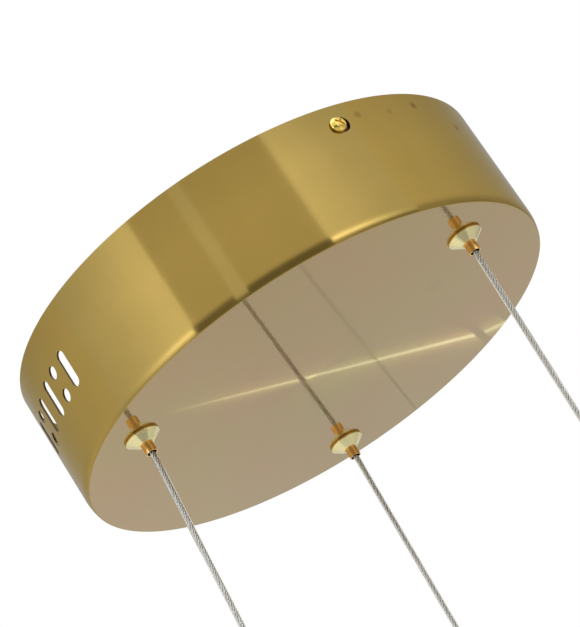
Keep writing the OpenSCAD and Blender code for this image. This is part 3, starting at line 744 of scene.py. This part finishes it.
# The drum with its disc
def slot_tool(name, size, place):
    """A cutter with round ends: long along X of its own, and standing on Z."""
    length, width = size
    deselect()
    bpy.ops.mesh.primitive_cylinder_add(vertices=CUTTER_VERTICES, radius=width / 2,
                                        depth=CUTTER_DEPTH)
    o = named(name)
    if length > width:
        half = (length - width) / 2
        edit()
        for way in (-1, 1):
            pick(o, lambda co: co.x * way > 1e-7)
            bpy.ops.transform.translate(value=(way * half, 0, 0))
        edit(False)
    o.data.transform(place)
    return o


def on_side(angle, drop):
    """A frame on the drum's side: its Z runs outwards and its X runs down."""
    return (Matrix.Rotation(math.radians(angle), 4, "Z")
            @ Matrix.Translation((CANOPY_R, 0, -drop))
            @ Matrix.Rotation(math.radians(90), 4, "Y"))


def vent_tools(middle):
    """Cutters for a group of vents: slot, two dots, slot, and the same mirrored."""
    tools = []
    for half in (-1, 1):
        for k, kind in enumerate(("slot", "dots", "slot")):
            way = half * (VENT_MIDDLE / 2 + k * VENT_PITCH)
            place = on_side(middle + math.degrees(way / CANOPY_R), VENT_DROP)
            if kind == "slot":
                tools.append(slot_tool("vent", VENT_SLOT, place))
            else:
                for end in (-1, 1):
                    shift = Matrix.Translation((end * VENT_DOT_GAP / 2, 0, 0))
                    tools.append(slot_tool("vent", VENT_DOT, place @ shift))
    return tools


def keyhole_tools(angle):
    """Cutters for the wide hole of a keyhole and for its neck."""
    place = on_side(angle, SCREW_DROP)
    hole = slot_tool("hole", KEYHOLE, place @ Matrix.Translation((0, KEYHOLE_SHIFT, 0)))
    reach = KEYHOLE_SHIFT + KEYHOLE_PLAY
    middle = (KEYHOLE_SHIFT - KEYHOLE_PLAY) / 2
    neck = slot_tool("neck", (reach + KEYHOLE_NECK, KEYHOLE_NECK),
                     place @ Matrix.Translation((0, middle, 0))
                     @ Matrix.Rotation(math.radians(90), 4, "Z"))
    return hole, neck


def inset(depth):
    """How far the side has leaned in at a depth below the start of the drum's lower edge. The
    lean grows evenly along the way down."""
    return -EASE / EASE_LEAN * math.log(math.cos(EASE_LEAN * depth / EASE))


def outer_edge():
    """The rings of the drum's lower edge, from the flat of the disc out to the side: a tight
    corner and then the slow curve."""
    foot = (CANOPY_R - inset(EASE), FACE_Z + CORNER_R * (1 - math.sin(EASE_LEAN)))
    middle = (foot[0] - CORNER_R * math.cos(EASE_LEAN), FACE_Z + CORNER_R)
    turns = [math.pi / 2 + (EASE_LEAN - math.pi / 2) * k / CORNER_STEPS
             for k in range(CORNER_STEPS + 1)]
    corner = [(middle[0] + CORNER_R * math.cos(t), middle[1] - CORNER_R * math.sin(t))
              for t in turns]
    slow = [(CANOPY_R - inset(EASE * (1 - k / EASE_STEPS)), foot[1] + EASE * k / EASE_STEPS)
            for k in range(1, EASE_STEPS + 1)]
    return corner + slow


def inner_edge():
    """The rings of the sheet's rounded edge inside, from the side in to the floor."""
    wide, tall = INNER_ROLL
    turns = [math.pi / 2 * k / INNER_ROLL_STEPS for k in range(INNER_ROLL_STEPS, -1, -1)]
    return [(CANOPY_R - SHEET_T - wide * (1 - math.sin(t)), FLOOR_Z + tall * (1 - math.cos(t)))
            for t in turns]


def canopy_shell():
    rings = outer_edge() + [(CANOPY_R, 0), (CANOPY_R - SHEET_T, 0)] + inner_edge()
    r, z = rings[0]
    deselect()
    bpy.ops.mesh.primitive_circle_add(vertices=DRUM_VERTICES, radius=r, fill_type="NGON",
                                      location=(0, 0, z))
    shell = named("canopy_drum")
    edit()
    bpy.ops.mesh.select_mode(type="EDGE")
    bpy.ops.mesh.select_all(action="SELECT")
    bpy.ops.mesh.region_to_loop()
    extruded(rings[1:], r, z)
    bpy.ops.mesh.edge_face_add()
    bpy.ops.mesh.select_all(action="SELECT")
    bpy.ops.mesh.normals_make_consistent(inside=False)
    edit(False)
    tools = vent_tools(VENT_ANGLE) + vent_tools(VENT_ANGLE + 180)
    for side in SIDES:
        tools.append(slot_tool("bore", BORE, Matrix.Translation(AXIS[side])))
    for angle in (0, 180):
        hole, neck = keyhole_tools(angle)
        tools.append(hole)
        cut(shell, [neck])
    cut(shell, tools)
    smooth(shell, 30)
    weighted(shell)
    dress(shell, SIDE_BRASS, DISC_BRASS, CUT_EDGE)
    side_look, disc_look, cut_look = range(3)
    for f in shell.data.polygons:
        depth = CANOPY_R - math.hypot(f.center.x, f.center.y)
        height = f.center.z - FACE_Z
        in_side = (CUT_BELOW < depth < SHEET_T - CUT_BELOW
                   and EDGE_H < height < -FACE_Z - CUT_BELOW)
        in_disc = depth > CUT_INWARDS and CUT_BELOW < height < SHEET_T - CUT_BELOW
        if f.normal.z < -0.999 and height < CUT_BELOW:
            f.material_index = disc_look
        elif in_side or in_disc:
            f.material_index = cut_look
        else:
            f.material_index = side_look
    placed(shell, "canopy_shell")


def gripper_body():
    """The flange, the cone and the hollow stud of a gripper, about the origin."""
    body = turned("gripper_body", [
        (NOZZLE_R + RUN_GAP, CONE_TIP_Z), (CONE_TIP_R, CONE_TIP_Z), (RIM_R, -RIM_T),
        (RIM_R, 0), (STUD_R, 0), (STUD_R, STUD_TOP), (SPRING_BORE_R, STUD_TOP),
        (SPRING_BORE_R, INNER_CONE_TOP), (NOZZLE_R + RUN_GAP, INNER_CONE_FOOT)], 96)
    bevelled(body, 0.22 * MM, 3, 20)
    dress(body, LOOKS["pale_gold"], RIM_GOLD)
    for f in body.data.polygons:
        out = math.hypot(f.center.x, f.center.y)
        f.material_index = 1 if out > RIM_R - 0.1 * MM and f.center.z < 0 else 0
    return body


def gripper_nozzle():
    """A release nozzle with the windows of its ball cage, about the origin."""
    nozzle = turned("nozzle", [
        (NOZZLE_BORE_R, MOUTH_Z), (NOZZLE_R, MOUTH_Z), (NOZZLE_R, CAGE_TOP - COLLAR_T),
        (COLLAR_R, CAGE_TOP - COLLAR_T), (COLLAR_R, CAGE_TOP), (NOZZLE_BORE_R, CAGE_TOP)], 72)
    step = 360 / BALLS
    cut(nozzle, [slot_tool("window", WINDOW,
                           Matrix.Rotation(math.radians(step / 2 + step * k), 4, "Z")
                           @ Matrix.Translation((WINDOW_WAY, 0, BALL_Z))
                           @ Matrix.Rotation(math.radians(90), 4, "Y"))
                 for k in range(BALLS)])
    bevelled(nozzle, 0.14 * MM, 3, 40)
    return nozzle


def gripper_spring(side, place):
    """The spring above a nozzle's cage."""
    length = SPRING_HIGH - SPRING_LOW
    coil = []
    for k in range(SPRING_TURNS * SPRING_STEPS + 1):
        a = 2 * math.pi * k / SPRING_STEPS
        height = SPRING_LOW + length * k / (SPRING_TURNS * SPRING_STEPS)
        coil.append(place @ Vector((SPRING_R * math.cos(a), SPRING_R * math.sin(a), height)))
    spring = tubes("return_spring_" + side, [coil], SPRING_WIRE_R, 2)
    placed(spring, "grip_spring_" + side)
    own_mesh(spring)


def grippers():
    body = gripper_body()
    nozzle = gripper_nozzle()
    for side in SIDES:
        turn = Matrix.Rotation(math.atan2(AXIS[side].y, AXIS[side].x), 4, "Z")
        place = Matrix.Translation(AXIS[side]) @ turn
        for form, name, node in ((body, "cable_gripper_", "gripper_body_"),
                                 (nozzle, "nozzle_", "release_nozzle_")):
            piece = copied(form, name + side)
            piece.data.transform(place)
            placed(piece, node + side)
        gripper_spring(side, place)
    bpy.data.objects.remove(body)
    bpy.data.objects.remove(nozzle)


# Rigid nodes whose edges are broken, with the piece's name and the width of the break
EDGED = {
    "mounting_strap": ("ceiling_strap", 0.3 * MM),
    "driver_case": ("driver_box", 0.5 * MM),
    "driver_lid": ("driver_cover", 0.6 * MM),
    "terminal_block": ("mains_terminals", 0.5 * MM),
    "gripper_nuts": ("lock_nuts", 0.3 * MM),
    "gripper_washers": ("flat_washers", 0.2 * MM),
    "earth_nut": ("earth_clamp_nut", 0.2 * MM),
    "driver_nuts": ("driver_fixing_nuts", 0.2 * MM),
}


def edged_pieces():
    """Copies of rigid nodes with their edges broken, in the nodes' places."""
    for node, (name, width) in EDGED.items():
        piece = copied(nodes[node], name)
        only(piece)
        edit()
        bpy.ops.mesh.select_all(action="SELECT")
        bpy.ops.mesh.remove_doubles(threshold=SAME_POINT)
        bpy.ops.mesh.dissolve_limited(angle_limit=math.radians(0.5))
        edit(False)
        bevelled(piece, width, 2, 30)
        # The strap gets its near black colour of painted shade
        if node == "mounting_strap":
            dress(piece, STRAP_PAINTED_SHADE)
        placed(piece, node)


# The studio: white surroundings, a pale floor, tall soft strips and grey cards. The cards are
# seen only in the object's reflections.
FLOOR_DROP = 0.9
CARD_WAY = 3.0
BEHIND_STRIPS = CARD_WAY + 0.1
ABOVE_LOW_CARDS = 0.01
CARD_STEPS = 48
MIRRORED_BEYOND = 0.15


def glow(name, colour):
    """A light of its own on a card, as strong as the card's glow attribute."""
    m = bpy.data.materials.new(name)
    m.use_nodes = True
    tree = m.node_tree
    tree.nodes.clear()
    light = tree.nodes.new("ShaderNodeEmission")
    light.inputs["Color"].default_value = (*colour, 1)
    out = tree.nodes.new("ShaderNodeOutputMaterial")
    level = tree.nodes.new("ShaderNodeAttribute")
    level.attribute_name = "glow"
    tree.links.new(level.outputs["Fac"], light.inputs["Strength"])
    tree.links.new(light.outputs[0], out.inputs["Surface"])
    return m


GLOW = glow("card_glow", (1, 1, 1))
STRIP_GLOW = glow("strip_glow", (0.98, 1.03, 1.2))
GLINT_GLOW = glow("glint_glow", (0.95, 1.0, 0.70))


def card(name, rows, levels, look=GLOW):
    """A card through rows of points. The levels of its light lie along the rows, and where
    they are given as one list for each row, across them too."""
    count = len(rows[0])
    faces = [(r * count + k, r * count + k + 1, (r + 1) * count + k + 1, (r + 1) * count + k)
             for r in range(len(rows) - 1) for k in range(count - 1)]
    mesh = bpy.data.meshes.new(name)
    mesh.from_pydata([p for row in rows for p in row], [], faces)
    note = mesh.attributes.new("glow", "FLOAT", "POINT")
    for r in range(len(rows)):
        run = levels[r] if isinstance(levels[0], (list, tuple)) else levels
        for k in range(count):
            t = k / (count - 1) * (len(run) - 1)
            low = min(int(t), len(run) - 2)
            note.data[r * count + k].value = run[low] + (run[low + 1] - run[low]) * (t - low)
    o = new_object(name, mesh)
    dress(o, look)
    o.visible_camera = False
    o.visible_diffuse = False
    o.visible_shadow = False
    o.visible_transmission = False
    o.visible_volume_scatter = False


def arc(azimuths):
    """The directions of points along a card, from one azimuth to another."""
    start, end = azimuths
    angles = [math.radians(start + (end - start) * k / CARD_STEPS)
              for k in range(CARD_STEPS + 1)]
    return [(math.cos(a), math.sin(a)) for a in angles]


def tall_card(name, azimuths, elevations, levels, way=CARD_WAY, look=GLOW):
    """A curved card that stands round the object, between azimuths and between elevations."""
    rows = []
    for elevation in elevations:
        e = math.radians(elevation)
        rows.append([Vector((x * math.cos(e), y * math.cos(e), math.sin(e))) * way
                     for x, y in arc(azimuths)])
    card(name, rows, levels, look)


def stronger(levels, factors):
    """The levels of a card for each of its rows, times a factor for each row."""
    return [[level * factor for level in levels] for factor in factors]


def low_card(name, azimuths, radii, levels, height=0.005):
    """A flat card just above the floor, between azimuths and between radii."""
    rows = [[Vector((x * radius, y * radius, height - FLOOR_DROP)) for x, y in arc(azimuths)]
            for radius in radii]
    card(name, rows, levels)


def mirrored_card(name, start, end, widths, levels, look=GLOW):
    """A thin strip that the camera sees in the disc's mirror, along a line on the disc that is
    given in millimetres. Its widths are in millimetres too."""
    eye = Vector((CAMERA_PLACE.x, CAMERA_PLACE.y, 2 * FACE_Z - CAMERA_PLACE.z))
    ends = [Vector((x * MM, y * MM, FACE_Z)) for x, y in (start, end)]
    shares = [k / CARD_STEPS for k in range(CARD_STEPS + 1)]
    on_disc = [ends[0].lerp(ends[1], share) for share in shares]
    line = [p + (p - eye) * MIRRORED_BEYOND for p in on_disc]
    across = (line[-1] - line[0]).cross(line[0] - eye).normalized()
    half = [(widths[0] + (widths[1] - widths[0]) * share) * MM / 2 for share in shares]
    rows = [[p + across * h * way for p, h in zip(line, half)] for way in (-1, 1)]
    card(name, rows, levels, look)


def world():
    """White surroundings, which light the object a little less than they look."""
    w = bpy.data.worlds.new("studio")
    bpy.context.scene.world = w
    w.use_nodes = True
    tree = w.node_tree
    background = tree.nodes["Background"]
    path = tree.nodes.new("ShaderNodeLightPath")
    seen = path.outputs["Is Camera Ray"]
    for kind in ("Is Glossy Ray", "Is Transmission Ray"):
        either = tree.nodes.new("ShaderNodeMath")
        either.operation = "MAXIMUM"
        tree.links.new(seen, either.inputs[0])
        tree.links.new(path.outputs[kind], either.inputs[1])
        seen = either.outputs[0]
    level = tree.nodes.new("ShaderNodeMapRange")
    level.inputs["To Min"].default_value = 0.8
    level.inputs["To Max"].default_value = 1.0
    tree.links.new(seen, level.inputs["Value"])
    tree.links.new(level.outputs["Result"], background.inputs["Strength"])
    background.inputs["Color"].default_value = (1, 1, 1, 1)


def floor():
    """A pale floor. The camera sees it a little paler, and sees through it from below."""
    deselect()
    bpy.ops.mesh.primitive_plane_add(size=60, location=(0, 0, -FLOOR_DROP))
    o = named("studio_floor")
    m, p, add, link = shader("pale_floor")
    p.inputs["Base Color"].default_value = (0.9, 0.9, 0.89, 1)
    p.inputs["Roughness"].default_value = 0.8
    p.inputs["Specular IOR Level"].default_value = 0.2
    path = add("ShaderNodeLightPath")
    paler = add("ShaderNodeMath", operation="MULTIPLY")
    paler.inputs[1].default_value = 0.16
    link(path.outputs["Is Camera Ray"], paler.inputs[0])
    p.inputs["Emission Color"].default_value = (1, 1, 1, 1)
    link(paler.outputs[0], p.inputs["Emission Strength"])
    side = add("ShaderNodeNewGeometry")
    clear = add("ShaderNodeBsdfTransparent")
    mix = add("ShaderNodeMixShader")
    link(side.outputs["Backfacing"], mix.inputs["Fac"])
    link(p.outputs[0], mix.inputs[1])
    link(clear.outputs[0], mix.inputs[2])
    link(mix.outputs[0], m.node_tree.nodes["Material Output"].inputs["Surface"])
    dress(o, m)


def area_light(name, place, target, size, power):
    data = bpy.data.lights.new(name, "AREA")
    data.shape = "RECTANGLE"
    data.size, data.size_y = size
    data.energy = power
    o = new_object(name, data)
    o.location = place
    o.rotation_mode = "QUATERNION"
    o.rotation_quaternion = (Vector(target) - Vector(place)).to_track_quat("-Z", "Y")
    o.visible_camera = False


def soft_strips():
    """Tall strips beside the camera, which the drum's side mirrors as its bright bands. Two of
    them are brighter near the horizon, where the drum's lower edge mirrors them."""
    tall_card("soft_left", (-65.7, -117), (-6, -5, 2, 9, 62),
              stronger((3.7, 3.45, 2.4, 1.5, 1.1, 1.0), (0.4, 0.75, 1.0))
              + stronger((1.6, 1.5, 1.33, 1.2, 1.1, 1.0), (1.0, 1.0)),
              look=STRIP_GLOW)
    tall_card("soft_middle", (-44.5, -38.3), (-5, 62), (1.1, 1.1), look=STRIP_GLOW)
    tall_card("soft_right", (1, 42), (-2, 0, 5, 10, 62),
              stronger((4.8, 4.4, 3.8, 2.9, 2.1, 1.5, 1.2), (0.7, 1.0, 0.9))
              + stronger((1.50, 1.37, 1.33, 1.23, 1.14, 1.10, 1.09), (1.0, 1.0)),
              look=STRIP_GLOW)


def dusk():
    """Dimmer surroundings behind the right and the left end of the drum."""
    high = (1.09, 0.96, 0.72, 0.50, 0.42)
    tall_card("dim_right", (42, 150), (7, 14, 60), ((1.0, 0.6, 0.35, 0.3, 0.3), high, high))
    tall_card("dim_left", (-125, -200), (7, 60), (0.97, 0.88, 0.74, 0.62, 0.48))


def ground():
    """Dark ground between the strips, which fades out a little above the horizon, and the
    floor that the disc mirrors."""
    tall_card("dark_far", (-65, 42), (-17, 6, 10, 15),
              ((0.26, 0.26), (0.26, 0.26), (0.65, 0.65), (1.0, 1.0)), BEHIND_STRIPS)
    tall_card("dim_low_left", (-65.7, -117), (-17, -6), (0.7, 0.7))
    tall_card("dark_right", (42, 120), (-17, 6), (0.6, 0.45, 0.45), BEHIND_STRIPS)
    low_card("dark_floor", (-65, 110), (0.34, 0.7, 1.1, 2.9),
             ((0.75, 0.75, 0.8), (0.75, 0.75, 0.75), (0.7, 0.7, 0.7), (0.5, 0.5, 0.5)))
    low_card("grey_floor", (-110, 60), (0.001, 0.35), (0.48, 0.48))
    low_card("grey_floor_behind", (60, 250), (0.001, 0.35), (0.8, 0.8))
    low_card("floor_left", (-65.7, -117), (0.5, 2.9), (0.85, 0.9, 1.0, 1.15), ABOVE_LOW_CARDS)
    low_card("bright_floor_right", (1, 42), (0.5, 2.9), (0.95, 0.95), ABOVE_LOW_CARDS)
    low_card("far_floor", (125, 169), (0.9, 4.5), (0.76, 0.76, 0.74, 0.86, 0.86))


def mirrored_lines():
    """What the disc mirrors as lines: a thin glint through its middle and a thin dark cable."""
    mirrored_card("glint", (15.9, -91.8), (-21.8, 103.6), (0.8, 1.7),
                  (0.9, 2.3, 2.6, 2.7, 2.9, 3.2), look=GLINT_GLOW)
    mirrored_card("glint_end", (-22.6, 110.1), (-20.7, 123.6), (1.7, 2.0), (2.6, 2.4),
                  look=GLINT_GLOW)
    mirrored_card("dark_cable", (-81.2, 90.1), (115.4, -52.8), (1.7, 1.7), (0.6, 0.6))


def studio():
    world()
    floor()
    area_light("overhead", (0.3, -0.4, 2.4), (0, 0, 0), (2.2, 2.2), 50)
    soft_strips()
    dusk()
    ground()
    mirrored_lines()
    bpy.context.scene.view_settings.view_transform = "Standard"


camera()
dress_nodes()
wires()
leads()
canopy_shell()
grippers()
edged_pieces()
studio()
